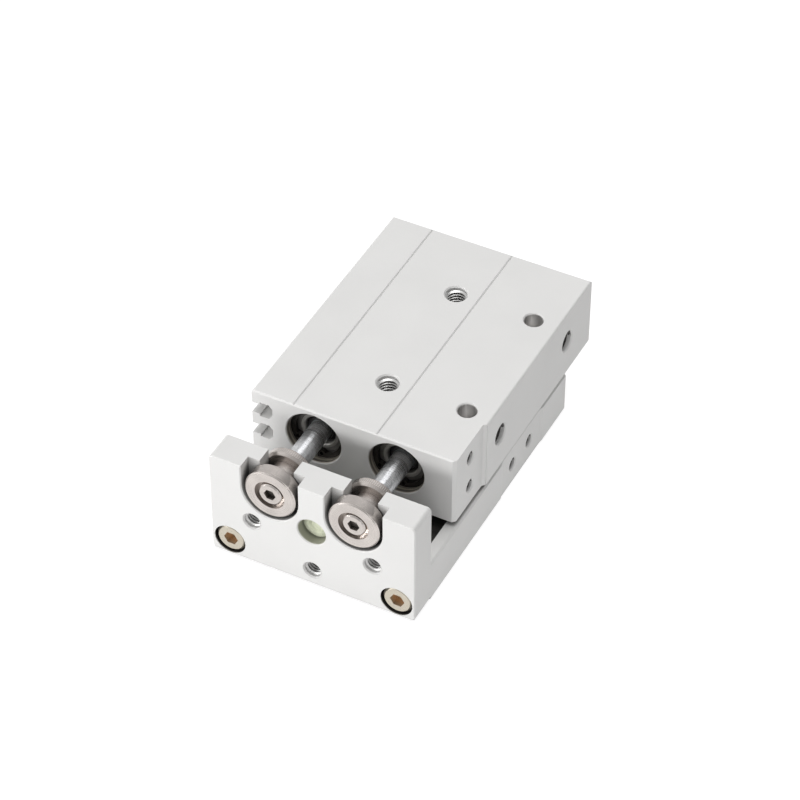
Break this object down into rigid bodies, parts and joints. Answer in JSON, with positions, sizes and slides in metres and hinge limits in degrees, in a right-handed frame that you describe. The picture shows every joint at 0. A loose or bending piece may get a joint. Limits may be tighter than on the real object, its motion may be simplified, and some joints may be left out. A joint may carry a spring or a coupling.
{
  "type": "pneumatic slide table cylinder",
  "caption": "Compact pneumatic slide table: a flat twin-bore cylinder body on a recirculating ball guide, with a sliding table and an end plate coupled to its rods.",
  "frame": {"origin": "centre of the table's load face, at the middle of the overall length and width, on Z = 0", "axes": "+X to the side with the air ports, +Y from the end plate to the rear of the body, +Z from the table's load face to the body's mounting face"},
  "size_m": [0.05, 0.086, 0.03],
  "materials": {
    "anodised_aluminium": "fine bead-blasted and clear anodised, matte satin",
    "dark_alloy": "turned and grey anodised",
    "bearing_steel": "hardened and ground",
    "polished_steel": "polished bearing balls",
    "chromed_rod": "hard chromed and polished",
    "nickel_steel": "turned, warm dull nickel plate",
    "plated_screws": "pale yellow zinc plate",
    "black_spring_steel": "black phosphated spring steel",
    "bronze": "sintered bronze bush",
    "magnet": "resin-bonded magnet ring",
    "bearing_resin": "wear ring resin",
    "black_resin": "moulded resin",
    "black_rubber": "nitrile rubber",
    "green_urethane": "pale green urethane bumper, slightly glossy"
  },
  "bodies": {
    "body": {"body_housing": "anodised_aluminium", "guide_block": "bearing_steel", "guide_block_screws": "plated_screws", "guide_cap_front": "black_resin", "guide_cap_rear": "black_resin", "guide_wiper_front": "black_rubber", "guide_wiper_rear": "black_rubber", "guide_balls": "polished_steel", "rod_cover_left": "dark_alloy", "rod_cover_right": "dark_alloy", "cover_o_ring_left": "black_rubber", "cover_o_ring_right": "black_rubber", "seal_retainer_left": "nickel_steel", "seal_retainer_right": "nickel_steel", "rod_seal_left": "black_rubber", "rod_seal_right": "black_rubber", "rod_bush_left": "bronze", "rod_bush_right": "bronze", "cover_ring_left": "black_spring_steel", "cover_ring_right": "black_spring_steel", "head_cap_left": "dark_alloy", "head_cap_right": "dark_alloy", "head_o_ring_left": "black_rubber", "head_o_ring_right": "black_rubber", "head_ring_left": "black_spring_steel", "head_ring_right": "black_spring_steel"},
    "table": {"table": "anodised_aluminium", "end_plate": "anodised_aluminium", "end_plate_screws": "plated_screws", "centre_bumper": "green_urethane", "guide_rail": "bearing_steel", "guide_rail_screws": "plated_screws", "rod_flange_left": "nickel_steel", "rod_flange_right": "nickel_steel", "rod_bolt_left": "nickel_steel", "rod_bolt_right": "nickel_steel", "floating_bushing_left": "nickel_steel", "floating_bushing_right": "nickel_steel", "piston_rod_left": "chromed_rod", "piston_rod_right": "chromed_rod", "piston_left": "dark_alloy", "piston_right": "dark_alloy", "piston_wear_ring_left": "bearing_resin", "piston_wear_ring_right": "bearing_resin", "piston_seal_left": "black_rubber", "piston_seal_right": "black_rubber", "piston_magnet_left": "magnet", "piston_magnet_right": "magnet", "piston_bumper_left": "black_rubber", "piston_bumper_right": "black_rubber", "piston_nut_left": "plated_screws", "piston_nut_right": "plated_screws"}
  },
  "joints": [
    {"name": "table_slide", "type": "slide", "parent": "body", "child": "table", "axis": [0, -1, 0], "range_m": [-0.0112, 0.0088]}
  ]
}
